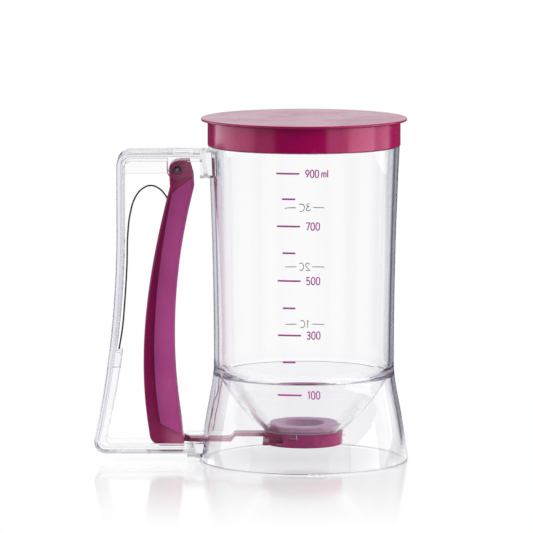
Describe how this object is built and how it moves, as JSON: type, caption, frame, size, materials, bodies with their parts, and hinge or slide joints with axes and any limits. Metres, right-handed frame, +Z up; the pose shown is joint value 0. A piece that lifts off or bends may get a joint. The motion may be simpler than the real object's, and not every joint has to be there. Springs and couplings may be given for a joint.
{
  "type": "pancake batter dispenser",
  "caption": "Clear batter jar with a funnel, standing skirt, lift-off cap and side handle whose squeezed trigger draws back a gate under the outlet.",
  "frame": {"origin": "on the jar's axis, in the plane of the table it stands on", "axes": "+Z up along the jar's axis, -X towards the handle, the mechanism symmetric about Y = 0"},
  "size_m": [0.168, 0.1118, 0.1838],
  "materials": {
    "clear_plastic": "clear polished",
    "magenta_plastic": "glossy moulded",
    "steel": "drawn wire"
  },
  "bodies": {
    "jar": {"container": "clear_plastic", "handle_frame": "clear_plastic", "pivot_pin": "steel", "return_spring": "steel", "valve_seat": "magenta_plastic", "valve_cap": "magenta_plastic"},
    "lid": {"lid": "magenta_plastic"},
    "trigger": {"trigger_lever": "magenta_plastic"},
    "gate": {"slide_gate": "magenta_plastic"}
  },
  "joints": [
    {"name": "lid_lift", "type": "slide", "parent": "jar", "child": "lid", "axis": [0, 0, 1], "range_m": [0, 0.03]},
    {"name": "trigger_squeeze", "type": "hinge", "parent": "jar", "child": "trigger", "pos_m": [-0.0674, 0, 0.1567], "axis": [0, 1, 0], "range_deg": [0, 9], "stiffness_Nm_per_rad": 3, "springref_deg": -5.73, "deforming": ["return_spring"]},
    {"name": "gate_pull", "type": "slide", "parent": "jar", "child": "gate", "axis": [-1, 0, 0], "range_m": [0, 0.0229]}
  ],
  "couplings": [
    {"joint": "gate_pull", "follows": "trigger_squeeze", "m_per_rad": 0.1451}
  ]
}
